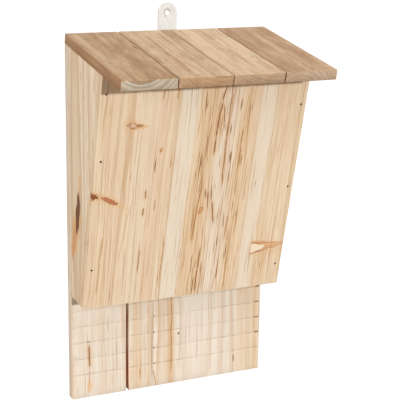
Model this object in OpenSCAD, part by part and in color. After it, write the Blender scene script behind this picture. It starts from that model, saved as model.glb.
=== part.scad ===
// Wall-hung bat box: a slanted wooden roost, open below, with a grooved landing board.
// X runs along the wall, +Y points into the wall, Z is up. The origin is the centre of the
// hanging hole, on the rear face of the hanger plate, which is the face that meets the wall.

/* [Boards] */
// Width over both side panels
body_w = 278; // [240:1:300]
// Thickness of the wall boards
wall_t = 14; // [10:1:18]
// Height of the back boards at the rear, from the bottom edge to the roof
back_h = 469.5; // [420:0.5:520]
// Width of the narrow back board on the left
narrow_back_w = 76; // [60:1:90]
// Open gap between the narrow back board and the wide one
back_gap = 3.5; // [2:0.5:5]
// Width of the stave glued to the wide back board's edge at the gap
back_stave_w = 36; // [25:1:50]

/* [Roost] */
// Height of the front panel's bottom edge above the landing board's bottom edge
entry_h = 141; // [120:1:170]
// Distance from the wall to the front panel's outer face at its bottom edge
entry_depth = 61; // [50:1:75]
// Lean of the front panel out from the vertical, in degrees
front_lean = 13.3; // [8:0.1:16]
// Slope of the side panels' and the front panel's bottom cut, in degrees
bottom_cut = 4.5; // [0:0.5:12]
// Widths of the three staves glued into the front panel, left to right
front_stave_w = [103, 110, 65]; // [40:1:140]

/* [Roof] */
// Slope of the roof, in degrees
roof_slope = 10; // [5:0.5:15]
// Length of each plank down the slope
plank_l = 191; // [175:1:210]
// Thickness of each plank
plank_t = 13; // [10:0.5:16]
// Widths of the planks, left to right, each with its share of the gap
plank_w = [71, 70, 68, 71]; // [60:1:80]
// Gap between neighbouring planks
plank_gap = 1.4; // [0.4:0.1:2]

/* [Landing grooves] */
// Height of the lowest groove above the board's bottom edge
groove_first = 32.5; // [20:0.5:60]
// Spacing of the grooves
groove_pitch = 22.5; // [15:0.5:30]
// Number of grooves up the back boards, on the landing area and inside the roost
groove_count = 17; // [5:1:17]
// Width and depth of each groove
groove_size = 1.2; // [1:0.1:2]

/* [Hanger] */
// Width of the hanger plate
plate_w = 26; // [20:1:32]
// Thickness of the hanger plate
plate_t = 2; // [1.5:0.1:3]
// Height of the hanging hole above the back boards' rear top edge
hole_rise = 34; // [30:0.5:45]
// Length of the plate below the hanging hole
plate_drop = 84; // [75:1:110]
// Radius of the hanging hole
hole_r = 3.2; // [2.5:0.1:4]
// Outer radius of the hanging hole's countersink, on the room side
sink_r = 5.4; // [4.5:0.1:7]

/* [Nails] */
// Radius of a nail's shank
nail_r = 0.8; // [0.6:0.1:1.2]
// Radius of a nail's head
nail_head_r = 1.4; // [1.2:0.1:2.2]
// Length of a nail, head included
nail_l = 34; // [26:1:40]
// Heights of the left front nails, up the panel from its bottom edge
left_nails = [56, 205, 291]; // [20:1:300]
// Heights of the right front nails, up the panel from its bottom edge
right_nails = [31, 147, 262]; // [20:1:300]

/* [Hidden] */
$fn = 32;

pale = [0.90, 0.80, 0.67];
warm = [0.88, 0.75, 0.60];
brown = [0.76, 0.61, 0.46];
zinc = [0.82, 0.83, 0.84];
steel = [0.45, 0.44, 0.43];

far = 400;                      // longer than any cut
clear = 0.5;                    // room left beside a batten
side_x = body_w / 2;            // outer face of the right side panel
back_rear = -plate_t;           // rear face of the back boards
back_front = back_rear - wall_t;
hole_h = back_h + hole_rise;    // hanging hole above the landing board's bottom edge
inner_shift = wall_t / cos(front_lean);

batten_t = 12;
batten_h = 28;
batten_w = body_w - 2 * wall_t - 2 * clear;
batten_low_z = 158;
batten_high_z = 424;

head_t = 0.9;                   // nail head thickness
head_sink = 0.2;                // nail head below the wood's surface
plank_nail_inset = 12;
front_row = 126;                // nails into the front panel's top edge, down the slope
back_row = 9;                   // nails into the back boards' top edges, down the slope
side_nail_z = [172, 244, 316, 388, 446];
batten_nail_x = [-116, -72, -42, 24, 70, 116];
screw_r = 1.7;
screw_head_r = 3.4;
screw_head_t = 1.7;
screw_l = 13;
screw_drop = [56, 72];          // screws below the hanging hole
sink_t = 0.8;

// Moves what is measured from the landing board's bottom edge to the origin at the hole.
module from_hole() {
    translate([0, 0, -hole_h]) children();
}

// A side outline of [y, z] points, drawn across from x = left to x = right.
module across(left, right, outline) {
    translate([left, 0, 0])
        rotate([90, 0, 90])
            linear_extrude(right - left)
                polygon(outline);
}

// Height of the roof's underside above the landing board's bottom edge, at y.
function roof_under(y) = back_h + (y - back_rear) * tan(roof_slope);

// Height of the bottom cut at y.
function cut_z(y) = entry_h + (y + entry_depth) * tan(bottom_cut);

// Points on a line parallel to the front panel, set back by shift from its outer face:
// at a height, at the roof's underside and at the bottom cut.
function front_y(z, shift) = -entry_depth + shift - (z - entry_h) * tan(front_lean);
function front_top(shift) =
    let (rise = roof_under(front_y(entry_h, shift)) - entry_h,
         z = entry_h + rise / (1 + tan(front_lean) * tan(roof_slope)))
    [front_y(z, shift), z];
function front_low(shift) =
    let (rise = shift * tan(bottom_cut) / (1 + tan(front_lean) * tan(bottom_cut)),
         z = entry_h + rise)
    [front_y(z, shift), z];

// A nail driven along -Z from the surface at the origin, and the hole that it fills.
module nail(long = nail_l) {
    translate([0, 0, -head_sink - head_t])
        cylinder(r = nail_head_r, h = head_t);
    translate([0, 0, -head_sink - long])
        cylinder(r = nail_r, h = long - head_t);
}
module nail_hole(long = nail_l) {
    translate([0, 0, -head_sink - head_t])
        cylinder(r = nail_head_r, h = head_t + head_sink + 1);
    translate([0, 0, -head_sink - long])
        cylinder(r = nail_r, h = long - head_t);
}

// Places for the nails, each with +Z out of the wood.
module at_front_nails() {
    for (side = [-1, 1], up = side < 0 ? left_nails : right_nails)
        translate([side * (side_x - wall_t / 2), -entry_depth, entry_h])
            rotate([front_lean, 0, 0])
                translate([0, 0, up])
                    rotate([90, 0, 0])
                        children();
}
module at_side_nails() {
    for (side = [-1, 1], z = side_nail_z)
        translate([side * (side_x - wall_t / 2), back_rear, z])
            rotate([-90, 0, 0])
                children();
}
module at_batten_nails() {
    for (z = [batten_low_z, batten_high_z], x = batten_nail_x)
        translate([x, back_rear, z + batten_h / 2])
            rotate([-90, 0, 0])
                children();
}
module at_hanger_screws() {
    for (drop = screw_drop)
        translate([0, 0, hole_h - drop])
            rotate([-90, 0, 0])
                children();
}
module at_roof_nails(rows) {
    for (i = [0 : len(plank_w) - 1], x = plank_nail_x(i), down = rows)
        on_roof()
            translate([x, -down, plank_t])
                children();
}

// The roof's own frame: X across, -Y down the slope, Z = 0 on its underside.
module on_roof() {
    translate([0, back_rear, back_h])
        rotate([roof_slope, 0, 0])
            children();
}
function roof_w() = plank_left(len(plank_w));
function plank_left(i) = i == 0 ? 0 : plank_left(i - 1) + plank_w[i - 1];
function plank_x(i) = plank_left(i) - roof_w() / 2;
function plank_nail_x(i) =
    [plank_x(i) + plank_nail_inset, plank_x(i) + plank_w[i] - plank_nail_inset];

// Countersunk screw along -Z, its head flush with the surface at the origin.
module screw() {
    translate([0, 0, -screw_head_t])
        cylinder(r1 = screw_r, r2 = screw_head_r, h = screw_head_t);
    translate([0, 0, -screw_l])
        cylinder(r = screw_r, h = screw_l - screw_head_t);
}

// Back boards: bevelled to the roof above, grooved across their front face.
module back_board(left, right) {
    difference() {
        across(left, right, [[back_rear, 0], [back_rear, back_h],
                             [back_front, roof_under(back_front)], [back_front, 0]]);
        for (i = [0 : groove_count - 1])
            translate([-far / 2, back_front - 1, groove_first + i * groove_pitch])
                cube([far, groove_size + 1, groove_size]);
        at_side_nails() nail_hole();
        at_batten_nails() nail_hole(wall_t + batten_t - 2);
        at_hanger_screws() screw();
        at_roof_nails([back_row]) nail_hole();
    }
}
back_split = -side_x + narrow_back_w;
module back_board_narrow() {
    color(warm) from_hole() back_board(-side_x, back_split);
}
module back_board_stave() {
    color(warm) from_hole()
        back_board(back_split + back_gap, back_split + back_gap + back_stave_w);
}
module back_board_wide() {
    color(pale) from_hole() back_board(back_split + back_gap + back_stave_w, side_x);
}

// Battens inside the roost, which tie the back boards together across their gap.
module back_batten(z) {
    difference() {
        translate([-batten_w / 2, back_front - batten_t, z])
            cube([batten_w, batten_t, batten_h]);
        at_batten_nails() nail_hole(wall_t + batten_t - 2);
    }
}
module back_batten_upper() {
    color(warm) from_hole() back_batten(batten_high_z);
}
module back_batten_lower() {
    color(warm) from_hole() back_batten(batten_low_z);
}

// Side panels stand in front of the back boards, under the roof and behind the front.
module side_panel(left) {
    difference() {
        across(left, left + wall_t, [[back_front, cut_z(back_front)], front_low(inner_shift),
                                     front_top(inner_shift),
                                     [back_front, roof_under(back_front)]]);
        at_front_nails() nail_hole();
        at_side_nails() nail_hole();
    }
}
module side_panel_left() {
    color(pale) from_hole() side_panel(-side_x);
}
module side_panel_right() {
    color(pale) from_hole() side_panel(side_x - wall_t);
}

// Front panel: three staves glued edge to edge, nailed over the side panels.
module front_stave(left, wide) {
    difference() {
        across(left, left + wide,
               [front_low(0), front_top(0), front_top(inner_shift), front_low(inner_shift)]);
        at_front_nails() nail_hole();
        at_roof_nails([front_row]) nail_hole();
    }
}
module front_stave_left() {
    color(pale) from_hole() front_stave(-side_x, front_stave_w[0]);
}
module front_stave_middle() {
    color(warm) from_hole() front_stave(-side_x + front_stave_w[0], front_stave_w[1]);
}
module front_stave_right() {
    color(pale) from_hole()
        front_stave(-side_x + front_stave_w[0] + front_stave_w[1],
                    body_w - front_stave_w[0] - front_stave_w[1]);
}

// Roof planks run from the wall down the slope, each nailed at the front and the back.
module roof_plank(i) {
    color(brown) from_hole()
        difference() {
            on_roof()
                translate([plank_x(i) + plank_gap / 2, -plank_l, 0])
                    cube([plank_w[i] - plank_gap, plank_l, plank_t]);
            at_roof_nails([front_row, back_row]) nail_hole();
        }
}
module roof_plank_1() roof_plank(0);
module roof_plank_2() roof_plank(1);
module roof_plank_3() roof_plank(2);
module roof_plank_4() roof_plank(3);

// Hanger plate: a round-topped strip behind the roof and the wide back board.
module hanger_plate() {
    color(zinc)
        difference() {
            union() {
                rotate([90, 0, 0]) cylinder(r = plate_w / 2, h = plate_t, $fn = 64);
                translate([-plate_w / 2, -plate_t, -plate_drop])
                    cube([plate_w, plate_t, plate_drop]);
            }
            rotate([90, 0, 0])
                translate([0, 0, -1])
                    cylinder(r = hole_r, h = plate_t + 2, $fn = 64);
            translate([0, -plate_t + sink_t, 0])
                rotate([90, 0, 0])
                    cylinder(r1 = hole_r, r2 = sink_r, h = sink_t, $fn = 64);
            from_hole() at_hanger_screws() screw();
        }
}
module hanger_screws() {
    color(steel) from_hole() at_hanger_screws() screw();
}

module front_nails() {
    color(steel) from_hole() at_front_nails() nail();
}
module side_nails() {
    color(steel) from_hole() at_side_nails() nail();
}
module roof_nails_front() {
    color(steel) from_hole() at_roof_nails([front_row]) nail();
}
module roof_nails_back() {
    color(steel) from_hole() at_roof_nails([back_row]) nail();
}
module batten_nails() {
    color(steel) from_hole() at_batten_nails() nail(wall_t + batten_t - 2);
}

back_board_narrow();
back_board_stave();
back_board_wide();
back_batten_upper();
back_batten_lower();
side_panel_left();
side_panel_right();
front_stave_left();
front_stave_middle();
front_stave_right();
roof_plank_1();
roof_plank_2();
roof_plank_3();
roof_plank_4();
hanger_plate();
hanger_screws();
front_nails();
side_nails();
roof_nails_front();
roof_nails_back();
batten_nails();
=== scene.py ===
import math

import bmesh
import bpy
from mathutils import Matrix, Vector, noise


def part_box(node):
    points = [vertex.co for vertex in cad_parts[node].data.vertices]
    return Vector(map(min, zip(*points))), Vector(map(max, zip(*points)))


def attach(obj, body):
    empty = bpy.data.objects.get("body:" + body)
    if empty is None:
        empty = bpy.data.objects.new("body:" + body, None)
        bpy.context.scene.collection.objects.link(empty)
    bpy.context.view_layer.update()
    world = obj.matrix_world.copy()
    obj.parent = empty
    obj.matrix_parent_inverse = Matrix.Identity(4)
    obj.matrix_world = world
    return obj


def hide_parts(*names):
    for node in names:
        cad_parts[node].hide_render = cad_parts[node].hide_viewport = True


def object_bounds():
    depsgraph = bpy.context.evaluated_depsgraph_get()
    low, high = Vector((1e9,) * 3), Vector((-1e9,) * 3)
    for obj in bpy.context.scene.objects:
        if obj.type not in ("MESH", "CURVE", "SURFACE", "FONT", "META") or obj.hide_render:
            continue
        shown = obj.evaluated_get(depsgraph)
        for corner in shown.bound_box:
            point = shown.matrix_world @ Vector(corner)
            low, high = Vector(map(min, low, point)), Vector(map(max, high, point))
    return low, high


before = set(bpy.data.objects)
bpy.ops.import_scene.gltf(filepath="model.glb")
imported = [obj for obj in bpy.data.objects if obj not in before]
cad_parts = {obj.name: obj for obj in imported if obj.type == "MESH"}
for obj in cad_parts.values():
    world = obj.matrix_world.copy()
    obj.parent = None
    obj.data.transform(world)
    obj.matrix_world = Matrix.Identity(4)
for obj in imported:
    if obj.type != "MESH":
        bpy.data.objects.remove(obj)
cad_lo, cad_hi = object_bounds()

MM = 0.001

# ---- The design's driving values, in millimetres and degrees ----
LEAN = math.radians(13.3)         # front panel, out from the vertical
SLOPE = math.radians(10)          # roof
GROOVE_FIRST = 32.5               # lowest landing groove above the boards' bottom edge
GROOVE_PITCH = 22.5
GROOVE_COUNT = 17
GROOVE_SIZE = 1.2
GROOVES = [GROOVE_FIRST + i * GROOVE_PITCH for i in range(GROOVE_COUNT)]
NAIL_HEAD_R = 1.4
NAIL_HEAD_T = 0.9
NAIL_SHANK_R = 0.8
NAIL_POINT = 3.0
HANGER_HOLE_R = 3.2
HANGER_SINK_R = 5.4
HANGER_SINK_DEPTH = 0.8
HANGER_SCREW_R = 3.4

# How far the boards' edges are eased, and the spacing of their mesh lines, in mm.
ROOF_EDGE_R = 1.1
FRONT_EDGE_R = 0.5
BACK_EDGE_R = 0.6
SIDE_EDGE_R = 0.7
BATTEN_EDGE_R = 0.5
CELL = 9.0

FRONT_BOARDS = ["front_stave_left", "front_stave_middle", "front_stave_right"]
BACK_BOARDS = ["back_board_narrow", "back_board_stave", "back_board_wide"]
ROOF_BOARDS = ["roof_plank_1", "roof_plank_2", "roof_plank_3", "roof_plank_4"]
SIDE_BOARDS = ["side_panel_left", "side_panel_right"]
BATTENS = ["back_batten_upper", "back_batten_lower"]
NAIL_GROUPS = ["front_nails", "side_nails", "roof_nails_front", "roof_nails_back",
               "batten_nails"]

boards_lo, boards_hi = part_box("back_board_narrow")
plate_lo, plate_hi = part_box("hanger_plate")
BOTTOM_Z = boards_lo.z / MM


# ---- Reading the frame ----
def node_mesh(name):
    """The CAD node's mesh, with the corners that its faces share joined up."""
    bm = bmesh.new()
    bm.from_mesh(bpy.data.objects[name].data)
    bmesh.ops.remove_doubles(bm, verts=bm.verts, dist=1e-6)
    return bm


def outline_of(name):
    """A board's four side corners as (y, z) in mm, anticlockwise seen from +X."""
    bm = node_mesh(name)
    points = sorted({(round(v.co.y / MM, 3), round(v.co.z / MM, 3)) for v in bm.verts})
    bm.free()

    def half(walk):
        chain = []
        for p in walk:
            while len(chain) > 1 and turn(chain[-2], chain[-1], p) <= 0.5:
                chain.pop()
            chain.append(p)
        return chain[:-1]

    def turn(a, b, c):
        return (b[0] - a[0]) * (c[1] - a[1]) - (b[1] - a[1]) * (c[0] - a[0])

    return half(points) + half(points[::-1])


def islands(name):
    """Each separate solid of a node, as a list of corner positions in mm."""
    bm = node_mesh(name)
    left = set(bm.verts)
    found = []
    while left:
        stack = [min(left, key=lambda v: v.index)]
        left.discard(stack[0])
        group = []
        while stack:
            v = stack.pop()
            group.append(v.co / MM)
            for e in v.link_edges:
                other = e.other_vert(v)
                if other in left:
                    left.discard(other)
                    stack.append(other)
        found.append(group)
    bm.free()
    return found


# The lines along which nails and screws are driven, square to the boards' faces.
DRIVEN_ALONG = [Vector((0, 1, 0)), Vector((1, 0, 0)),
                Vector((0, math.cos(LEAN), math.sin(LEAN))),
                Vector((0, -math.sin(SLOPE), math.cos(SLOPE)))]


def driven(points):
    """A nail's or screw's head centre, its direction out of the wood and its length, in mm."""
    mean = sum(points, Vector()) / len(points)

    def off_line(p, line):
        return ((p - mean) - line * (p - mean).dot(line)).length

    line = min(DRIVEN_ALONG, key=lambda d: max(off_line(p, d) for p in points))
    widest = max(off_line(p, line) for p in points)
    rim = [p for p in points if off_line(p, line) > 0.8 * widest]
    head = sum(rim, Vector()) / len(rim)
    along = [p.dot(line) for p in points]
    if head.dot(line) < (min(along) + max(along)) / 2:
        line = -line
        along = [-a for a in along]
    return head + line * (max(along) - head.dot(line)), line, max(along) - min(along)


def lowest_outer(name):
    """The outer bottom edge of a leaning board, as (y, z) in mm."""
    return min(outline_of(name), key=lambda p: p[1] + p[0] * 0.2)


FRONT_FOOT = lowest_outer("front_stave_left")
NAILS = {name: [driven(g) for g in islands(name)] for name in NAIL_GROUPS}
SCREWS = [driven(g) for g in islands("hanger_screws")]


# ---- Mesh helpers ----
SMOOTH_ANGLE = 35                 # degrees; an edge that turns by more than this is sharp


def finish_mesh(name, bm, material, smooth_angle=SMOOTH_ANGLE):
    """Makes an object of a bmesh in mm, smooth except across sharp edges."""
    bmesh.ops.recalc_face_normals(bm, faces=bm.faces)
    bmesh.ops.scale(bm, vec=(MM, MM, MM), verts=bm.verts)
    mesh = bpy.data.meshes.new(name)
    bm.to_mesh(mesh)
    bm.free()
    mesh.shade_smooth()
    mesh.set_sharp_from_angle(angle=math.radians(smooth_angle))
    mesh.materials.append(material)
    piece = bpy.data.objects.new(name, mesh)
    bpy.context.scene.collection.objects.link(piece)
    return piece


def applied(piece):
    """Applies a piece's modifiers to its mesh."""
    graph = bpy.context.evaluated_depsgraph_get()
    mesh = bpy.data.meshes.new_from_object(piece.evaluated_get(graph))
    piece.modifiers.clear()
    mesh.set_sharp_from_angle(angle=math.radians(SMOOTH_ANGLE))
    piece.data = mesh


def stands_for(piece, node):
    """Lets a piece take the place of a CAD node."""
    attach(piece, "root")
    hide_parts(node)


def grid_lines(length, radius, extra=()):
    """Mesh lines from 0 to length: close together at the eased edges, then even."""
    ease = 0.42 * radius
    count = max(2, round((length - 2 * radius) / CELL))
    inner = [radius + (length - 2 * radius) * i / count for i in range(count + 1)]
    lines = [0, ease, *inner, length - ease, length]
    lines = [a for a in lines if all(abs(a - b) > 0.9 for b in extra)]
    return sorted([*lines, *extra])


def box_surface(xs, ps, qs):
    """The grid surface of a box with mesh lines at xs, ps and qs, as a bmesh."""
    bm = bmesh.new()
    made = {}

    def at(*key):
        if key not in made:
            made[key] = bm.verts.new((xs[key[0]], ps[key[1]], qs[key[2]]))
        return made[key]

    sizes = [len(xs), len(ps), len(qs)]
    for axis in range(3):
        one, two = [a for a in range(3) if a != axis]
        for end in (0, sizes[axis] - 1):
            for i in range(sizes[one] - 1):
                for j in range(sizes[two] - 1):
                    corners = []
                    for di, dj in ((0, 0), (1, 0), (1, 1), (0, 1)):
                        key = [0, 0, 0]
                        key[axis], key[one], key[two] = end, i + di, j + dj
                        corners.append(at(*key))
                    bm.faces.new(corners)
    return bm


def eased(p, size, radius):
    """Moves a point on a box onto the same box with rounded edges."""
    inner = Vector([min(max(c, radius), s - radius) for c, s in zip(p, size)])
    out = p - inner
    return inner + out.normalized() * radius if out.length > 1e-9 else p


def groove_depth(q, x):
    """Depth of the landing grooves at height q, each with its own uneven cut."""
    for i, g in enumerate(GROOVES):
        if -0.4 < q - g < GROOVE_SIZE + 0.4:
            inside = min(q - g, g + GROOVE_SIZE - q)
            cut = 0.85 + 0.35 * noise.noise((x * 0.02, i * 3.7, 1.3))
            depth = GROOVE_SIZE * min(1.0, cut)
            return depth if inside > 0.05 else (0.12 if inside > -0.05 else 0.0)
    return 0.0


def groove_lines(top):
    """The mesh lines that the grooves need, up to the height top."""
    steps = (-0.35, -0.02, 0.1, GROOVE_SIZE - 0.1, GROOVE_SIZE + 0.02, GROOVE_SIZE + 0.35)
    return [g + step for g in GROOVES for step in steps if g + step < top]


def wear(p, size, radius, seed):
    """Small uneven loss at the edges and corners, and a slight waviness of the faces."""
    near = sum(min(c, s - c) < radius for c, s in zip(p, size))
    rub = noise.noise(p * 0.045 + Vector((seed, 0, 0)))
    nick = noise.noise(p * 0.16 + Vector((0, seed, 0)))
    loss = 0.03 + 0.03 * rub
    if near > 1:
        loss += 0.10 + 0.22 * max(0.0, rub) + 0.5 * max(0.0, nick - 0.35)
    return loss


def board(name, node, material, radius, seed, grooved=False):
    """A board in a CAD node's place: eased and worn edges, and landing grooves."""
    lo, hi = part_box(node)
    corners = outline_of(node)
    # The long way of the outline runs along q, the thickness along p.
    long_first = dist(corners[0], corners[1]) > dist(corners[1], corners[2])
    a, b, c, d = corners if long_first else corners[1:] + corners[:1]
    width = (hi.x - lo.x) / MM
    thick = dist(b, c) * abs(math.sin(angle_at(a, b, c)))
    length = (dist(a, b) + dist(d, c)) / 2
    size = Vector((width, thick, length))
    lines = groove_lines(length - 2 * radius) if grooved else []
    bm = box_surface(grid_lines(width, radius), grid_lines(thick, radius),
                     grid_lines(length, radius, lines))
    front_is_zero = min(a[0], b[0]) < min(c[0], d[0])
    flip = a[1] > b[1]
    for v in bm.verts:
        p = v.co.copy()
        q = eased(p, size, radius)
        inward = Vector([math.copysign(1, k) if min(w, s - w) < radius * 0.7 else 0
                         for k, w, s in zip(size / 2 - q, p, size)])
        if inward.length:
            q += inward.normalized() * wear(p, size, radius, seed)
        if grooved:
            depth = groove_depth(length - p.z if flip else p.z, p.x)
            q.y = max(q.y, depth) if front_is_zero else min(q.y, thick - depth)
        v.co = q
    bmesh.ops.remove_doubles(bm, verts=bm.verts, dist=1e-5)
    for v in bm.verts:
        px, py, pz = v.co.x, v.co.y / thick, v.co.z / length
        y, z = lerp2(lerp2(a, b, pz), lerp2(d, c, pz), py)
        v.co = (lo.x / MM + px, y, z)
    return finish_mesh(name, bm, material)


def dist(a, b):
    return math.hypot(a[0] - b[0], a[1] - b[1])


def angle_at(a, b, c):
    """The angle between b to a and b to c."""
    return math.atan2(a[1] - b[1], a[0] - b[0]) - math.atan2(c[1] - b[1], c[0] - b[0])


def lerp2(a, b, t):
    return (a[0] + (b[0] - a[0]) * t, a[1] + (b[1] - a[1]) * t)


def turned_about(out):
    """A rotation that takes +Z to the direction out."""
    return out.to_track_quat("Z", "Y").to_matrix().to_4x4()


def spin(bm, profile, place, steps=20):
    """A closed solid of revolution from (radius, height) points, both ends on the axis."""
    rings = []
    for r, h in profile:
        if r == 0:
            rings.append([bm.verts.new(place @ Vector((0, 0, h)))])
            continue
        turn = [math.tau * i / steps for i in range(steps)]
        rings.append([bm.verts.new(place @ Vector((r * math.cos(t), r * math.sin(t), h)))
                      for t in turn])
    for one, two in zip(rings, rings[1:]):
        for i in range(steps):
            j = (i + 1) % steps
            corners = [one[i % len(one)], one[j % len(one)],
                       two[j % len(two)], two[i % len(two)]]
            bm.faces.new(dict.fromkeys(corners))


def recess(piece, spots):
    """Sinks a small flared hole into a board over each nail that ends at its face."""
    bm = bmesh.new()
    for top, out, _ in spots:
        r = NAIL_HEAD_R
        place = Matrix.Translation(top) @ turned_about(out)
        profile = [(0, -0.95), (r + 0.02, -0.95), (r + 0.05, 0.0), (r + 0.35, 0.35),
                   (r + 0.6, 1.2), (0, 1.2)]
        spin(bm, profile, place)
    if not bm.verts:
        bm.free()
        return
    cutter = finish_mesh("cutter", bm, piece.data.materials[0])
    cut = piece.modifiers.new("recess", "BOOLEAN")
    cut.object = cutter
    cut.solver = "EXACT"
    applied(piece)
    bpy.data.objects.remove(cutter)


def nails_in(node):
    """The nails whose heads lie on or just under the surface of this node's board."""
    lo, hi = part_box(node)
    found = []
    for group in NAILS.values():
        for top, out, long in group:
            probe = (top - out * 0.3) * MM
            if all(lo[i] - 1e-4 < probe[i] < hi[i] + 1e-4 for i in range(3)):
                found.append((top, out, long))
    return found


def nail_group(name, node, material):
    """Wire nails with a slightly domed head, a round shank and a tapered point."""
    bm = bmesh.new()
    r, shank, thick = NAIL_HEAD_R, NAIL_SHANK_R, NAIL_HEAD_T
    for top, out, long in NAILS[node]:
        place = Matrix.Translation(top) @ turned_about(out)
        profile = [(0, 0.0), (r * 0.6, -0.03), (r * 0.92, -0.14), (r, -0.34),
                   (r * 0.94, -thick * 0.8), (shank * 1.15, -thick), (shank, -thick - 0.5),
                   (shank, -long + NAIL_POINT), (0, -long)]
        spin(bm, profile, place)
    return finish_mesh(name, bm, material, smooth_angle=50)


# ---- Material helpers ----
def tone(r, g, b):
    """A colour given as it looks on a screen, 0 to 255, as the shader needs it."""
    def linear(c):
        c /= 255
        return c / 12.92 if c <= 0.04045 else ((c + 0.055) / 1.055) ** 2.4
    return (linear(r), linear(g), linear(b), 1.0)


def colour_sockets(sockets):
    """A Mix node's colour sockets, out of the ones for every data type."""
    return [k for k in sockets if k.type == "RGBA"]


class Graph:
    """A material's nodes, made by short calls that each return an output socket."""

    def __init__(self, name):
        self.material = bpy.data.materials.new(name)
        self.material.use_nodes = True
        self.nodes = self.material.node_tree.nodes
        self.links = self.material.node_tree.links
        self.nodes.clear()

    def node(self, kind, settings=None, **inputs):
        made = self.nodes.new(kind)
        for key, value in (settings or {}).items():
            setattr(made, key, value)
        for key, value in inputs.items():
            self.feed(made.inputs[key.replace("_", " ")], value)
        return made

    def feed(self, socket, value):
        if isinstance(value, bpy.types.NodeSocket):
            self.links.new(value, socket)
        else:
            socket.default_value = value

    def math(self, how, *values, clamp=False):
        made = self.nodes.new("ShaderNodeMath")
        made.operation = how
        made.use_clamp = clamp
        for socket, value in zip(made.inputs, values):
            self.feed(socket, value)
        return made.outputs[0]

    def add(self, a, b):
        return self.math("ADD", a, b)

    def times(self, a, b):
        return self.math("MULTIPLY", a, b)

    def plus_times(self, a, b, c):
        """a * b + c"""
        return self.math("MULTIPLY_ADD", a, b, c)

    def varied(self, value, weight, base):
        """base, made higher or lower by noise round 0.5"""
        return self.plus_times(self.add(value, -0.5), weight, base)

    def offset(self, value, centre, size):
        """How far value is past centre, in units of size."""
        return self.times(self.add(value, -centre), 1 / size)

    def length(self, a, b):
        return self.math("SQRT", self.add(self.times(a, a), self.times(b, b)))

    def step(self, value, lo, hi):
        """0 up to lo, 1 from hi on, smooth between; falling if hi is below lo."""
        made = self.nodes.new("ShaderNodeMapRange")
        made.interpolation_type = "SMOOTHSTEP"
        top, bottom = (1.0, 0.0) if lo < hi else (0.0, 1.0)
        for key, number in (("Value", value), ("From Min", min(lo, hi)),
                            ("From Max", max(lo, hi)), ("To Min", bottom), ("To Max", top)):
            self.feed(made.inputs[key], number)
        return made.outputs[0]

    def vector(self, x, y, z):
        return self.node("ShaderNodeCombineXYZ", X=x, Y=y, Z=z).outputs[0]

    def noise(self, vector, detail=2.0, rough=0.5, warp=0.0):
        made = self.node("ShaderNodeTexNoise", Vector=vector, Scale=1.0, Detail=detail,
                         Roughness=rough, Distortion=warp)
        return made.outputs["Fac"]

    def random(self, value, seed):
        made = self.node("ShaderNodeTexWhiteNoise", {"noise_dimensions": "2D"},
                         Vector=self.vector(value, seed, 0.0))
        return made.outputs["Value"]

    def mix(self, amount, a, b, how="MIX"):
        made = self.nodes.new("ShaderNodeMix")
        made.data_type = "RGBA"
        made.blend_type = how
        self.feed(made.inputs["Factor"], amount)
        for socket, value in zip(colour_sockets(made.inputs), (a, b)):
            self.feed(socket, value)
        return colour_sockets(made.outputs)[0]

    def finish(self, colour, rough, height=None, depth=0.0, **shader):
        surface = self.nodes.new("ShaderNodeBsdfPrincipled")
        self.feed(surface.inputs["Base Color"], colour)
        self.feed(surface.inputs["Roughness"], rough)
        for key, value in shader.items():
            self.feed(surface.inputs[key.replace("_", " ")], value)
        if height is not None:
            bump = self.node("ShaderNodeBump", Strength=1.0, Distance=depth, Height=height)
            self.links.new(bump.outputs[0], surface.inputs["Normal"])
        out = self.nodes.new("ShaderNodeOutputMaterial")
        self.links.new(surface.outputs[0], out.inputs[0])
        return self.material


# ---- Wood ----
WOOD_RELIEF = 0.00022             # depth of the grain's bump, in metres
WOOD_SHINE = 0.22
MARKS_FULL = 3.0                  # mm below the face, where the thin boards' marks start
MARKS_GONE = 10.0                 # to fade, and where they have gone

# Board space, in mm: u across the board, t through it, s along the grain.
PLACES = {
    "wall": (0.0, Vector((0, boards_lo.y / MM, BOTTOM_Z))),
    "side": (0.0, Vector((0, 0, BOTTOM_Z))),
    "front": (-LEAN, Vector((0, *FRONT_FOOT))),
    "roof": (-SLOPE, Vector((0, boards_hi.y / MM, boards_hi.z / MM))),
}


def board_space(g, place):
    """Where a point is in its board's own space: u, t and s."""
    angle, start = PLACES[place]
    turn = Matrix.Rotation(angle, 3, "X")
    where = g.node("ShaderNodeTexCoord").outputs["Object"]
    mapped = g.node("ShaderNodeMapping", {"vector_type": "POINT"}, Vector=where,
                    Location=-(turn @ start), Rotation=(angle, 0, 0),
                    Scale=(1 / MM, 1 / MM, 1 / MM))
    x, y, z = g.node("ShaderNodeSeparateXYZ", Vector=mapped.outputs[0]).outputs
    if place == "roof":
        return x, z, g.times(y, -1.0)
    if place == "side":
        return y, x, z
    return x, y, z


def grain_axis(place):
    """The direction of the grain in the row's frame."""
    if place == "front":
        return Vector((0, -math.sin(LEAN), math.cos(LEAN)))
    if place == "roof":
        return Vector((0, -math.cos(SLOPE), -math.sin(SLOPE)))
    return Vector((0, 0, 1))


def end_grain(g, place):
    """1 on faces cut across the grain, 0 on the others."""
    normal = g.node("ShaderNodeNewGeometry").outputs["True Normal"]
    dot = g.node("ShaderNodeVectorMath", {"operation": "DOT_PRODUCT"})
    g.links.new(normal, dot.inputs[0])
    dot.inputs[1].default_value = grain_axis(place)
    return g.step(g.math("ABSOLUTE", dot.outputs["Value"]), 0.6, 0.9)


def band(g, u, lo, hi, soft):
    """1 between lo and hi, fading over soft at each side."""
    return g.times(g.step(u, lo - soft, lo + soft), g.step(u, hi + soft, hi - soft))


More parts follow.
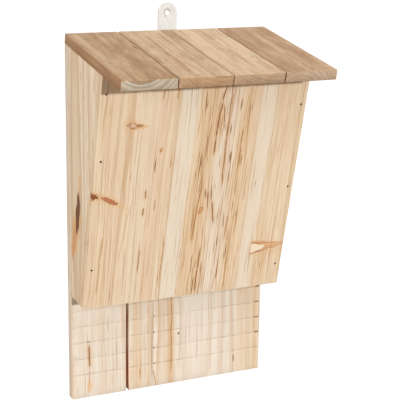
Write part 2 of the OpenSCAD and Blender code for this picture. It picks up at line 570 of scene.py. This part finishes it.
def grain_noise(g, u, t, s, across, along, seed, detail=2.0):
    """Noise with a period of about across mm over the board and along mm down the grain."""
    return g.noise(g.vector(g.plus_times(u, 1 / across, seed), g.times(t, 1 / across),
                            g.times(s, 1 / along)), detail, 0.55)


FIR = dict(
    pale=tone(240, 220, 192), warm=tone(221, 188, 151), late=tone(196, 156, 114),
    line=tone(180, 133, 88), dash=tone(132, 82, 44), halo=tone(226, 176, 120),
    knot=tone(138, 76, 38), core=tone(204, 140, 98), end=0.90, ring=4.2, rings=0.30,
    broad=1.0, streak=0.9, fine=1.7, hair=0.6, blotch=0.5, tint=0.35, mottle=0.25,
    rough=0.62)
SIDE_FIR = dict(FIR, pale=tone(242, 226, 202), warm=tone(226, 198, 164))
GREY_FIR = dict(FIR, pale=tone(230, 218, 202), warm=tone(216, 190, 160), broad=0.7,
                streak=0.5, fine=1.4)
PINE = dict(
    pale=tone(216, 190, 158), warm=tone(172, 136, 102), late=tone(152, 114, 82),
    line=tone(140, 102, 72), dash=tone(98, 66, 46), halo=tone(190, 142, 98),
    knot=tone(90, 58, 38), core=tone(160, 112, 76), end=0.90, ring=4.6, rings=0.16,
    broad=1.2, streak=1.0, fine=1.1, hair=0.42, blotch=1.7, tint=0.2, mottle=0.9,
    rough=0.68)
DARK_PINE = dict(PINE, pale=tone(200, 169, 133), warm=tone(152, 115, 80), broad=0.9,
                 streak=0.8)


def bent_grain(g, u, t, s, shift, knots):
    """u, wandering along the board and pushed aside round each knot."""
    drift = grain_noise(g, u, t, s, 90, 230, shift)
    across = g.varied(drift, 12.0, u)
    for x, y, rx, ry, *_ in knots:
        du = g.offset(u, x, rx * 2.2)
        ds = g.offset(s, y, ry * 3.4)
        fall = g.math("EXPONENT", g.times(g.add(g.times(du, du), g.times(ds, ds)), -1.0))
        push = g.times(g.times(g.math("TANH", g.times(du, 2.0)), fall), -0.4 * rx)
        across = g.add(across, push)
    return across


def late_wood(g, look, across, t, s, pith, shift, seed):
    """The dark part of each growth ring, each ring's own chance, and mm from the pith."""
    radial = g.math("SQRT", g.add(g.math("POWER", g.add(across, -pith[0]), 2.0),
                                  g.math("POWER", g.add(t, -pith[1]), 2.0)))
    slow = grain_noise(g, radial, 0.0, s, 20, 900, shift)
    phase = g.plus_times(slow, 5.0, g.times(radial, 1 / look["ring"]))
    ring = g.math("FLOOR", phase)
    part = g.math("SUBTRACT", phase, ring)
    late = g.times(g.step(part, 0.35, 0.88), g.step(part, 1.0, 0.90))
    return late, g.random(ring, seed), radial


def flecks(g, across, t, s, wide, long, amount, seed):
    """Broken lines along the grain and the stain beside them.

    There are few for an amount near 0 and many near 1."""
    grain = grain_noise(g, across, t, s, wide, long, seed, 1.0)
    over = g.add(grain, g.times(g.plus_times(amount, -0.16, 0.75), -1.0))
    line = g.math("MULTIPLY", over, 16.0, clamp=True)
    stain = g.math("MULTIPLY", g.add(over, 0.07), 9.0, clamp=True)
    return line, stain


def streak_line(g, colour, look, u, s, streak):
    """A thin dark line of pitch that follows the grain between two heights."""
    x, low, high, lean, thick, strength = streak
    middle = g.plus_times(s, lean, x - low * lean)
    wob = g.noise(g.vector(g.plus_times(s, 0.035, x), 0.0, 0.0), 2.0)
    off = g.math("ABSOLUTE", g.math("SUBTRACT", g.varied(wob, 5.0, u), middle))
    ends = g.times(band(g, s, low, high, min(6.0, (high - low) * 0.25)),
                   g.plus_times(g.step(grain_noise(g, u, 0.0, s, 30, 12, x), 0.3, 0.5),
                                0.6, 0.4))
    glow = g.times(g.times(g.step(off, thick * 4, thick), ends), strength * 0.5)
    amount = g.times(g.times(g.step(off, thick, thick * 0.35), ends), strength)
    colour = g.mix(glow, colour, look["halo"])
    return g.mix(amount, colour, look["dash"])


def knot_mark(g, colour, look, u, s, knot):
    """A small knot: a core with a broken dark rim and an orange halo."""
    x, y, rx, ry, tilt, core = knot
    du = g.offset(u, x, rx)
    ds = g.times(g.plus_times(g.add(u, -x), -tilt, g.add(s, -y)), 1 / ry)
    rag = g.noise(g.vector(g.plus_times(u, 0.35, x), 0.0, g.times(s, 0.35)), 3.0)
    q = g.varied(rag, 1.8, g.length(du, ds))
    colour = g.mix(g.times(g.step(q, 2.8, 0.9), 0.45), colour, look["halo"])
    colour = g.mix(g.times(g.step(q, 1.2, 0.8), 0.85), colour, look["knot"])
    lines = g.step(g.noise(g.vector(g.times(u, 0.5), x, g.times(s, 0.9)), 3.0), 0.35, 0.6)
    shown = g.plus_times(lines, 0.6, 0.35)
    return g.mix(g.times(g.step(q, 0.85, 0.6), shown), colour, core)


def spike_mark(g, colour, look, u, s, spike, shift):
    """A knot cut along its length: a wedge that opens away from the board's edge."""
    apex, far_x, middle, rise, spread = spike
    v = g.offset(u, apex, far_x - apex)
    rag = g.noise(g.vector(g.plus_times(u, 0.12, shift), 1.0, g.times(s, 0.1)), 3.0)
    off = g.math("SUBTRACT", g.varied(rag, 4.5, s), g.plus_times(v, rise, middle))
    away = g.math("ABSOLUTE", off)
    ratio = g.math("DIVIDE", away, g.plus_times(v, spread, 2.0))
    reach = g.times(g.step(v, -0.02, 0.02), g.step(v, 1.05, 0.99))

    # Orange veins over the wedge, and fibres along its body.
    over = g.add(off, g.times(v, -13.0))
    above = g.times(g.step(off, 2.0, 4.0), g.times(g.step(over, 3.0, -3.0), reach))
    veins = g.noise(g.vector(g.times(u, 0.05), shift + 2, g.times(s, 0.5)), 3.0)
    colour = g.mix(g.times(above, 0.6), colour, look["halo"])
    colour = g.mix(g.times(above, g.times(g.step(veins, 0.45, 0.6), 0.6)), colour,
                   look["core"])
    below = g.times(g.times(g.step(off, -4.0, -7.0), g.step(off, -20.0, -8.0)), reach)
    colour = g.mix(g.times(below, 0.25), colour, look["halo"])
    body = g.times(g.step(ratio, 1.05, 0.9), reach)
    colour = g.mix(g.times(body, 0.6), colour, look["halo"])
    fibres = g.step(g.noise(g.vector(g.times(u, 0.04), shift, g.times(s, 0.8)), 3.0), 0.4, 0.6)
    colour = g.mix(g.times(body, g.times(fibres, 0.75)), colour, look["core"])
    rim = g.times(g.step(ratio, 0.8, 0.94), g.step(ratio, 1.12, 0.98))
    rim = g.times(g.times(rim, reach), g.plus_times(g.step(v, 0.35, 0.75), 0.5, 0.4))
    colour = g.mix(rim, colour, look["knot"])

    # The pale heart fills the wide half and comes to a rounded point.
    opened = g.math("MULTIPLY_ADD", v, 1 / 0.42, -0.58 / 0.42, clamp=True)
    half = g.plus_times(g.math("POWER", opened, 0.6), spread + 1.2, 0.01)
    inner = g.math("DIVIDE", away, half)
    edge = g.times(g.step(inner, 1.5, 1.0), g.times(g.step(v, 0.45, 0.6), reach))
    colour = g.mix(g.times(edge, 0.7), colour, look["core"])
    heart = g.times(g.step(inner, 1.05, 0.8), g.times(g.step(v, 0.56, 0.62), reach))
    return g.mix(heart, colour, look["pale"])


def patch_mark(g, colour, u, s, patch):
    """A long ragged lens of another colour, leaning by lean mm for each mm of height."""
    x, y, rx, ry, lean, strength, shade = patch
    middle = g.plus_times(g.add(s, -y), lean, x)
    rag = grain_noise(g, u, 0.0, s, 5, 26, x * 0.7, 3.0)
    du = g.times(g.math("SUBTRACT", u, middle), 1 / rx)
    q = g.varied(rag, 1.6, g.length(du, g.offset(s, y, ry)))
    return g.mix(g.times(g.step(q, 1.1, 0.75), strength), colour, shade)


def ground_colour(g, look, space, across, late, chance, shift, warmth, bands):
    """Broad colour, then streaks of several widths, then the rings and the bands."""
    u, t, s = space
    broad = grain_noise(g, across, t, s, 26, 300, shift, 3.0)
    mottle = grain_noise(g, u, t, s, 2.4, 9, shift + 9, 4.0)
    streak = grain_noise(g, across, t, s, 7.0, 260, shift + 3)
    fine = grain_noise(g, across, t, s, 2.6, 150, shift + 5)
    blotch = grain_noise(g, u, t, s, 13, 50, shift + 7, 4.0)
    warm = warmth
    for kind, pattern in (("broad", broad), ("streak", streak), ("mottle", mottle),
                          ("fine", fine), ("blotch", blotch)):
        warm = g.varied(pattern, look[kind], warm)
    warm = g.math("MULTIPLY", warm, 1.0, clamp=True)
    colour = g.mix(warm, look["pale"], look["warm"])
    tint = g.step(grain_noise(g, across, t, s, 6, 240, shift + 11), 0.55, 0.72)
    colour = g.mix(g.times(tint, look["tint"]), colour, look["halo"])
    rings = g.plus_times(g.math("POWER", chance, 2.0), look["rings"] * 1.6,
                         look["rings"] * 0.2)
    colour = g.mix(g.times(late, rings), colour, look["late"])
    for lo, hi, soft, strength, shade in bands:
        edge = g.varied(fine, soft * 2.5, across)
        colour = g.mix(g.times(band(g, edge, lo, hi, soft), strength), colour, shade)
    return colour


def resin_lines(g, colour, look, across, t, s, shift, marks, mark_band):
    """Thin faint lines of resin, shorter darker ones among them, and how deep they are.

    There are more of them inside mark_band, if the board has one."""
    amount = marks
    if mark_band:
        lo, hi, soft, inside = mark_band
        amount = g.plus_times(band(g, across, lo, hi, soft), inside - marks, marks)
    hair, _ = flecks(g, across, t, s, 1.5, 120, g.plus_times(amount, 0.4, 0.72), shift + 13)
    thin, near_thin = flecks(g, across, t, s, 2.0, 70, g.times(amount, 1.2), shift + 17)
    dark, near_dark = flecks(g, across, t, s, 2.8, 42, g.add(amount, -0.08), shift + 23)
    colour = g.mix(g.times(hair, look["hair"]), colour, look["line"])
    stain = g.times(g.math("MAXIMUM", near_thin, near_dark), 0.45)
    colour = g.mix(stain, colour, look["halo"])
    colour = g.mix(g.times(thin, 0.75), colour, look["line"])
    colour = g.mix(g.times(dark, 0.9), colour, look["dash"])
    return colour, g.math("MAXIMUM", g.times(thin, 0.5), dark)


def face_marks(g, plain, look, place, space, shift, streaks, knots, spikes, patches):
    """The marks that belong to one board, on its outer face.

    On the thin boards they fade out towards the inner face."""
    u, t, s = space
    colour = plain
    for streak in streaks:
        colour = streak_line(g, colour, look, u, s, streak)
    for knot in knots:
        colour = knot_mark(g, colour, look, u, s, knot)
    for spike in spikes:
        colour = spike_mark(g, colour, look, u, s, spike, shift)
    for patch in patches:
        colour = patch_mark(g, colour, u, s, patch)
    if place in ("wall", "front"):
        colour = g.mix(g.step(t, MARKS_GONE, MARKS_FULL), plain, colour)
    return colour


def end_cut(g, colour, look, place, rings, fibre, end_tone, heart):
    """End grain, which drinks more light and shows its rings more strongly.

    Within heart mm of the pith it keeps the face's colour, behind a dark line."""
    late, chance, radial = rings
    shown = g.plus_times(late, g.plus_times(chance, -0.24, -0.06), look["end"] + 0.05)
    shown = g.varied(fibre, 0.12, shown)
    cut = g.mix(0.6, colour, end_tone) if end_tone else colour
    if heart:
        cut = g.mix(g.step(radial, heart, heart - 1.0), cut, colour)
        line = g.times(band(g, radial, heart - 0.4, heart + 0.4, 0.3), 0.7)
        cut = g.mix(line, cut, look["dash"])
    cut = g.mix(1.0, cut, g.vector(shown, shown, shown), "MULTIPLY")
    return g.mix(end_grain(g, place), colour, cut)


def wood(name, place, look, pith, seed, warmth=0.5, bands=(), marks=0.1, mark_band=None,
         knots=(), streaks=(), spikes=(), patches=(), end_tone=None, heart=None):
    """Softwood with real growth rings round a pith line, so faces and ends agree.

    The pith is at (u, t). Warmth 0 is the look's pale tone and 1 its warm one, and marks
    is how many resin lines there are, 0 to 1. end_tone tints the cut ends, except within
    heart mm of the pith. The board's own marks are tuples in mm of board space:
    bands      u from, u to, softness, strength, colour
    knots      u, s, half width, half height, tilt, colour of the core
    streaks    u at the foot, s from, s to, lean, half thickness, strength
    spikes     u of the point, u of the wide end, s of the point, rise, spread
    patches    u, s, half width, half height, lean, strength, colour
    mark_band  u from, u to, softness, and how many resin lines are inside, 0 to 1"""
    g = Graph(name)
    space = board_space(g, place)
    u, t, s = space
    shift = seed * 37.0
    across = bent_grain(g, u, t, s, shift, knots)
    rings = late_wood(g, look, across, t, s, pith, shift, seed)
    late, chance, _ = rings
    colour = ground_colour(g, look, space, across, late, chance, shift, warmth, bands)
    fibre = grain_noise(g, u, t, s, 0.6, 30, shift, 3.0)
    shade = g.plus_times(fibre, 0.18, 0.91)
    colour = g.mix(1.0, colour, g.vector(shade, shade, shade), "MULTIPLY")
    colour, pits = resin_lines(g, colour, look, across, t, s, shift, marks, mark_band)
    colour = face_marks(g, colour, look, place, space, shift, streaks, knots, spikes,
                        patches)
    colour = end_cut(g, colour, look, place, rings, fibre, end_tone, heart)
    rough = g.plus_times(fibre, 0.16, look["rough"] - 0.08)
    height = g.plus_times(late, 0.35, g.times(fibre, 0.9))
    height = g.plus_times(pits, -0.6, height)
    return g.finish(colour, rough, height, WOOD_RELIEF, Specular_IOR_Level=WOOD_SHINE)


# ---- Each board's own wood ----
WHITE_BAND = tone(234, 218, 196)
ORANGE = tone(219, 180, 132)
PINK = tone(228, 198, 172)
CREAM = tone(236, 224, 208)
PALE_CORE = tone(240, 208, 178)
RED_CORE = tone(206, 128, 88)
# Dark brown for bark marks, and also painted shade at the ends of the landing grooves on the
# wide back board.
BARK_AND_PAINTED_SHADE = tone(104, 66, 46)
RED_BROWN = tone(204, 122, 82)

wood_front_left = wood(
    "fir_front_left", "front", FIR, (-150.0, 160.0), 1.0, 0.5,
    bands=[(-64, -52, 5, 0.35, PINK), (-88, -66, 6, 0.3, WHITE_BAND)],
    marks=0.3,
    knots=[(-95, 249, 6.5, 3.8, -0.15, PALE_CORE), (-55, 214, 1.6, 2.6, 0.4, FIR["halo"]),
           (-116, 151, 11, 3.4, -0.5, RED_CORE), (-138, 159, 6, 4.2, -0.2, FIR["knot"])],
    streaks=[(-59, 281, 295, 0.0, 0.8, 0.7), (-40, 280, 295, 0.0, 0.9, 0.7),
             (-40, 190, 202, 0.0, 0.7, 0.7), (-70, 150, 161, 0.0, 1.1, 0.9),
             (-70, 126, 137, 0.0, 1.1, 0.9), (-70, 46, 76, 0.0, 0.8, 0.8),
             (-56, 132, 146, 0.0, 0.7, 0.6), (-124, 22, 100, 0.03, 0.7, 0.65),
             (-38, 20, 90, 0.0, 0.7, 0.7), (-99, 60, 140, 0.12, 0.5, 0.35)],
    patches=[(-85, 247, 10, 2.6, 0.0, 0.6, FIR["halo"]),
             (-86, 248.5, 5, 2.0, 0.0, 0.6, FIR["knot"])])
wood_front_middle = wood(
    "fir_front_middle", "front", FIR, (60.0, 120.0), 2.0, 0.45,
    bands=[(-36, -13, 2, 0.9, WHITE_BAND), (-11, 14, 6, 0.3, ORANGE),
           (20, 46, 8, 0.5, CREAM), (50, 70, 6, 0.2, ORANGE)],
    marks=0.3, mark_band=(-6, 68, 7, 0.85), knots=[(9, 126, 2.6, 4.6, 0.8, FIR["halo"])],
    streaks=[(17, 204, 262, 0.03, 1.3, 0.95), (19, 258, 300, 0.12, 1.3, 0.95),
             (32, 240, 300, 0.0, 1.0, 0.8), (28, 236, 268, -0.15, 0.9, 0.7),
             (34, 160, 242, -0.03, 0.9, 0.85), (54, 186, 235, 0.0, 0.9, 0.8),
             (7, 196, 244, 0.04, 0.8, 0.7), (1, 84, 170, 0.06, 0.9, 0.8),
             (3, 150, 178, 0.1, 0.7, 0.7), (55, 143, 166, 0.0, 0.7, 0.7),
             (14, 6, 68, 0.02, 1.2, 0.9), (29, 106, 136, -0.2, 1.4, 0.8),
             (56, 1, 48, 0.0, 0.9, 0.7)])
wood_front_right = wood(
    "fir_front_right", "front", FIR, (170.0, 140.0), 3.0, 0.45,
    bands=[(75, 95, 5, 0.75, WHITE_BAND), (99, 105, 3, 0.35, ORANGE)],
    marks=0.32, streaks=[(113, 130, 250, 0.01, 0.5, 0.35)],
    spikes=[(139, 91, 62, -2.5, 6.0)])
wood_side_left = wood(
    "fir_side_left", "side", SIDE_FIR, (-40.0, -240.0), 4.0, 0.35, marks=0.15,
    patches=[(-50, 294, 5, 24, -0.2, 0.6, FIR["halo"]),
             (-36, 236, 15, 42, -0.35, 0.7, FIR["halo"]),
             (-31, 226, 7, 30, -0.3, 0.45, RED_CORE),
             (-44, 262, 7.5, 28, -0.15, 0.92, BARK_AND_PAINTED_SHADE)])
wood_side_right = wood("fir_side_right", "side", SIDE_FIR, (-70.0, 240.0), 5.0, 0.5,
                       marks=0.12)
wood_back_narrow = wood(
    "fir_back_narrow", "wall", GREY_FIR, (-110.0, 90.0), 6.0, 0.3, marks=0.08,
    streaks=[(-115, 42, 73, 0.0, 1.5, 0.9), (-115, 10, 40, 0.0, 0.9, 0.5)],
    patches=[(-115, 15, 4, 9, 0.15, 0.5, FIR["halo"]),
             (-116, GROOVES[2] + GROOVE_SIZE / 2, 3.0, 1.1, 0.0, 0.7, BARK_AND_PAINTED_SHADE)])
wood_back_stave = wood("fir_back_stave", "wall", GREY_FIR, (-20.0, 120.0), 7.0, 0.4,
                       marks=0.45,
                       bands=[(-53, -42, 3, 0.4, ORANGE), (-34, -28, 2, 0.4, ORANGE),
                              (-70, -59.5, 0.3, 0.9, RED_BROWN)])
wood_back_wide = wood(
    "fir_back_wide", "wall", GREY_FIR, (40.0, 150.0), 8.0, 0.25, marks=0.06,
    bands=[(12, 90, 14, 0.35, CREAM), (-22, 8, 4, 0.25, ORANGE), (0, 7, 2, 0.4, ORANGE),
           (100, 142, 3, 0.3, ORANGE), (128, 134, 2, 0.4, ORANGE)],
    streaks=[(3, 20, 125, 0.0, 1.3, 0.6), (-20, 0, 34, -0.15, 0.5, 0.9)],
    # The brown dots where the first grooves end at the board's left and right edges are
    # painted shade in the grooves' ends.
    patches=[(-22.6, g + GROOVE_SIZE / 2, 1.5, 1.2, 0.0, 0.8, BARK_AND_PAINTED_SHADE) for g in GROOVES[:4]]
    + [(133.8, g + GROOVE_SIZE / 2, 4.2, 1.2, 0.0, 0.7, BARK_AND_PAINTED_SHADE) for g in GROOVES[1:5]]
    + [(14, 71, 1.5, 2.0, 0.0, 0.95, BARK_AND_PAINTED_SHADE), (98.5, 22, 1.0, 5.0, 0.0, 0.7, BARK_AND_PAINTED_SHADE)])
wood_batten = wood("fir_batten", "wall", FIR, (0.0, 60.0), 9.0, 0.5, marks=0.2)
wood_planks = [
    wood("pine_plank_1", "roof", DARK_PINE, (-114.0, 45.0), 11.0, 0.55, marks=0.12,
         bands=[(-150, -138.3, 0.3, 0.5, tone(166, 120, 86)),
                (-133, -126, 4, 0.35, tone(206, 180, 150))],
         end_tone=tone(216, 206, 184), heart=36.5),
    wood("pine_plank_2", "roof", PINE, (-10.0, 60.0), 12.0, 0.4, marks=0.08,
         end_tone=tone(184, 138, 98)),
    wood("pine_plank_3", "roof", PINE, (60.0, 90.0), 13.0, 0.28, marks=0.08,
         end_tone=tone(176, 139, 110)),
    wood("pine_plank_4", "roof", PINE, (90.0, -24.0), 14.0, 0.72, marks=0.12,
         bands=[(66, 102, 12, 0.35, tone(158, 122, 90))], end_tone=tone(200, 172, 146)),
]


# ---- Metal ----
def zinc():
    """Dull zinc plate, brushed along the strip."""
    g = Graph("zinc_plated_strip")
    where = g.node("ShaderNodeTexCoord").outputs["Object"]
    x, y, z = g.node("ShaderNodeSeparateXYZ", Vector=where).outputs
    mottled = g.noise(g.vector(g.times(x, 420.0), g.times(y, 420.0), g.times(z, 420.0)), 3.0)
    brushed = g.noise(g.vector(g.times(x, 5200.0), 0.0, g.times(z, 90.0)), 2.0)
    colour = g.mix(g.step(mottled, 0.35, 0.65), tone(191, 188, 183), tone(208, 204, 198))
    rough = g.add(g.times(mottled, 0.12), g.plus_times(brushed, 0.1, 0.34))
    return g.finish(colour, rough, brushed, 0.00003, Metallic=0.35)


def steel(name, dark, light, metallic):
    """Steel that is mottled between two shades."""
    g = Graph(name)
    where = g.node("ShaderNodeTexCoord").outputs["Object"]
    grain = g.node("ShaderNodeVectorMath", {"operation": "SCALE"}, Scale=900.0)
    g.links.new(where, grain.inputs[0])
    rust = g.noise(grain.outputs[0], 3.0, 0.6)
    colour = g.mix(g.step(rust, 0.4, 0.7), dark, light)
    return g.finish(colour, g.plus_times(rust, 0.3, 0.3), rust, 0.00005, Metallic=metallic)


zinc_strip = zinc()
nail_steel = steel("bare_nail_steel", tone(64, 48, 38), tone(104, 86, 70), 0.45)
screw_steel = steel("zinc_screw_steel", tone(170, 170, 166), tone(206, 206, 202), 0.8)


# ---- Boards ----
def place_board(node, material, radius, seed, grooved=False):
    """Makes a board, sinks its nail holes and puts it in its CAD node's place."""
    piece = board("wood_" + node, node, material, radius, seed, grooved)
    recess(piece, nails_in(node))
    stands_for(piece, node)


for i, node in enumerate(ROOF_BOARDS):
    place_board(node, wood_planks[i], ROOF_EDGE_R, seed=20 + i)
for node, material in zip(FRONT_BOARDS, (wood_front_left, wood_front_middle,
                                         wood_front_right)):
    place_board(node, material, FRONT_EDGE_R, seed=30)
for node, material in zip(BACK_BOARDS, (wood_back_narrow, wood_back_stave,
                                        wood_back_wide)):
    place_board(node, material, BACK_EDGE_R, seed=40, grooved=True)
for node, material in zip(SIDE_BOARDS, (wood_side_left, wood_side_right)):
    place_board(node, material, SIDE_EDGE_R, seed=50)
for node in BATTENS:
    place_board(node, wood_batten, BATTEN_EDGE_R, seed=60)

for node in NAIL_GROUPS:
    stands_for(nail_group("steel_" + node, node, nail_steel), node)


# ---- Hanger ----
def hanger_plate():
    """A strip with a round top, countersunk holes and rounded edges."""
    lo, hi = plate_lo / MM, plate_hi / MM
    half, thick, arc = (hi.x - lo.x) / 2, hi.y - lo.y, 40
    bm = bmesh.new()
    ring = [(half * math.cos(math.pi * i / arc), half * math.sin(math.pi * i / arc))
            for i in range(arc + 1)]
    ring += [(-half, lo.z), (half, lo.z)]
    face = bm.faces.new([bm.verts.new((x, lo.y, z)) for x, z in ring])
    made = bmesh.ops.extrude_face_region(bm, geom=[face])
    verts = [v for v in made["geom"] if isinstance(v, bmesh.types.BMVert)]
    bmesh.ops.translate(bm, verts=verts, vec=(0, thick, 0))
    rims = [e for e in bm.edges if abs(e.verts[0].co.y - e.verts[1].co.y) < 1e-6]
    bmesh.ops.bevel(bm, geom=rims, offset=0.35, segments=3, profile=0.5, affect="EDGES")
    plate = finish_mesh("hanger_strip", bm, zinc_strip, smooth_angle=30)

    holes = bmesh.new()
    back = Matrix.Rotation(math.radians(90), 4, "X")
    r, sink, deep = HANGER_HOLE_R, HANGER_SINK_R, HANGER_SINK_DEPTH
    spin(holes, [(0, -1), (r, -1), (r, thick - deep), (sink, thick), (sink + 0.8, thick + 0.8),
                 (0, thick + 0.8)], back, 48)
    for top, out, _ in SCREWS:
        place = Matrix.Translation(top) @ turned_about(out)
        wide = HANGER_SCREW_R + 0.12
        spin(holes, [(0, -thick - 1), (1.8, -thick - 1), (1.8, -1.7), (wide, 0.0),
                     (wide + 0.5, 0.5), (0, 0.5)], place, 32)
    cutter = finish_mesh("cutter", holes, zinc_strip)
    cut = plate.modifiers.new("holes", "BOOLEAN")
    cut.object = cutter
    cut.solver = "EXACT"
    applied(plate)
    bpy.data.objects.remove(cutter)
    for face in plate.data.polygons:
        face.use_smooth = abs(face.normal.y) < 0.999
    return plate


def hanger_screws():
    """Countersunk screws with a conical recess and rings for their thread."""
    bm = bmesh.new()
    for top, out, long in SCREWS:
        place = Matrix.Translation(top) @ turned_about(out)
        head, core = HANGER_SCREW_R, 1.25
        profile = [(0, -0.9), (0.9, -0.02), (head - 0.15, 0.0), (head, -0.12), (core, -1.9)]
        turns = 6
        pitch = (long - 3.5) / turns
        for i in range(turns):
            z = -2.0 - i * pitch
            profile += [(core, z), (1.7, z - pitch * 0.35), (core, z - pitch * 0.7)]
        profile += [(0, -long)]
        spin(bm, profile, place, 24)
    return finish_mesh("steel_hanger_screws", bm, screw_steel, smooth_angle=40)


stands_for(hanger_plate(), "hanger_plate")
stands_for(hanger_screws(), "hanger_screws")


# ---- Studio ----
AMBIENT = 0.29
WARM_BOUNCE = (1.0, 0.85, 0.72, 1.0)   # under the roof the light is what the wood returns
FLOOR_DROP = 300                       # mm below the part, which hangs on a wall
FLOOR_GLOW = 0.12
FLOOR_HALF = 20000

# Azimuth, elevation, spread, strength and colour of each light, in degrees.
SUNS = {
    "key": (10, 11.3, 3, 0.74, (0.91, 0.96, 1.0)),
    "left_fill": (-75, 15, 30, 0.68, (0.93, 0.97, 1.0)),
    "top": (20, 78, 50, 0.20, (0.98, 0.99, 1.0)),
    "right_fill": (95, 20, 40, 0.42, (1, 1, 1)),
    "back_fill": (172, 20, 40, 0.38, (1, 1, 1)),
}

# The photograph's camera, fitted to the object's corners.
CAMERA_AZIMUTH = math.radians(-25.6)
CAMERA_ELEVATION = math.radians(14.24)
CAMERA_ROLL = math.radians(0.86)
CAMERA_TARGET = Vector((21.4, -61.6, -235.1)) * MM
CAMERA_DISTANCE = 1.514
CAMERA_LENS = 105.6


def floor():
    """A pale floor that takes shadows but throws no light back onto the part."""
    g = Graph("pale_floor")
    where = g.node("ShaderNodeTexCoord").outputs["Object"]
    soft = g.noise(where, 2.0)
    colour = g.mix(soft, tone(249, 251, 254), tone(252, 253, 255))
    material = g.finish(colour, 0.9, Emission_Color=(1, 1, 1, 1),
                        Emission_Strength=FLOOR_GLOW)
    bm = bmesh.new()
    bmesh.ops.create_grid(bm, x_segments=4, y_segments=4, size=FLOOR_HALF)
    bmesh.ops.translate(bm, verts=bm.verts, vec=(0, 0, cad_lo.z / MM - FLOOR_DROP))
    ground = finish_mesh("studio_floor", bm, material)
    ground.visible_diffuse = False
    ground.visible_glossy = False


def towards(azimuth, elevation):
    """The direction from the object to a light or camera, from angles in radians."""
    level = math.cos(elevation)
    return Vector((math.sin(azimuth) * level, -math.cos(azimuth) * level,
                   math.sin(elevation)))


def sun(name, azimuth, elevation, spread, strength, colour):
    """Even light from a direction. A strength of 1 lights a white card fully."""
    back = towards(math.radians(azimuth), math.radians(elevation))
    data = bpy.data.lights.new(name, "SUN")
    data.angle = math.radians(spread)
    data.energy = strength * math.pi
    data.color = colour
    light = bpy.data.objects.new(name, data)
    light.rotation_mode = "QUATERNION"
    light.rotation_quaternion = (-back).to_track_quat("-Z", "Y")
    bpy.context.scene.collection.objects.link(light)


def studio_world():
    """Even light from all round, and a white background for the camera."""
    world = bpy.data.worlds.new("studio")
    world.use_nodes = True
    nodes, links = world.node_tree.nodes, world.node_tree.links
    background = nodes["Background"]
    path = nodes.new("ShaderNodeLightPath")
    shade = nodes.new("ShaderNodeMix")
    shade.data_type = "RGBA"
    for socket, value in zip(colour_sockets(shade.inputs), (WARM_BOUNCE, (1, 1, 1, 1))):
        socket.default_value = value
    links.new(path.outputs["Is Camera Ray"], shade.inputs["Factor"])
    links.new(colour_sockets(shade.outputs)[0], background.inputs["Color"])
    level = nodes.new("ShaderNodeMapRange")
    level.inputs["To Min"].default_value = AMBIENT
    level.inputs["To Max"].default_value = 1.0
    links.new(path.outputs["Is Camera Ray"], level.inputs["Value"])
    links.new(level.outputs[0], background.inputs["Strength"])
    bpy.context.scene.world = world


def camera():
    """The photograph's view: from the front left, a little above."""
    back = towards(CAMERA_AZIMUTH, CAMERA_ELEVATION)
    data = bpy.data.cameras.new("camera")
    data.sensor_width = 36
    data.lens = CAMERA_LENS
    eye = bpy.data.objects.new("camera", data)
    eye.location = CAMERA_TARGET + back * CAMERA_DISTANCE
    turn = (-back).to_track_quat("-Z", "Y").to_matrix().to_4x4()
    eye.rotation_mode = "QUATERNION"
    eye.rotation_quaternion = (turn @ Matrix.Rotation(CAMERA_ROLL, 4, "Z")).to_quaternion()
    bpy.context.scene.collection.objects.link(eye)
    bpy.context.scene.camera = eye


floor()
for name, settings in SUNS.items():
    sun(name, *settings)
studio_world()
camera()
bpy.context.scene.view_settings.view_transform = "Standard"
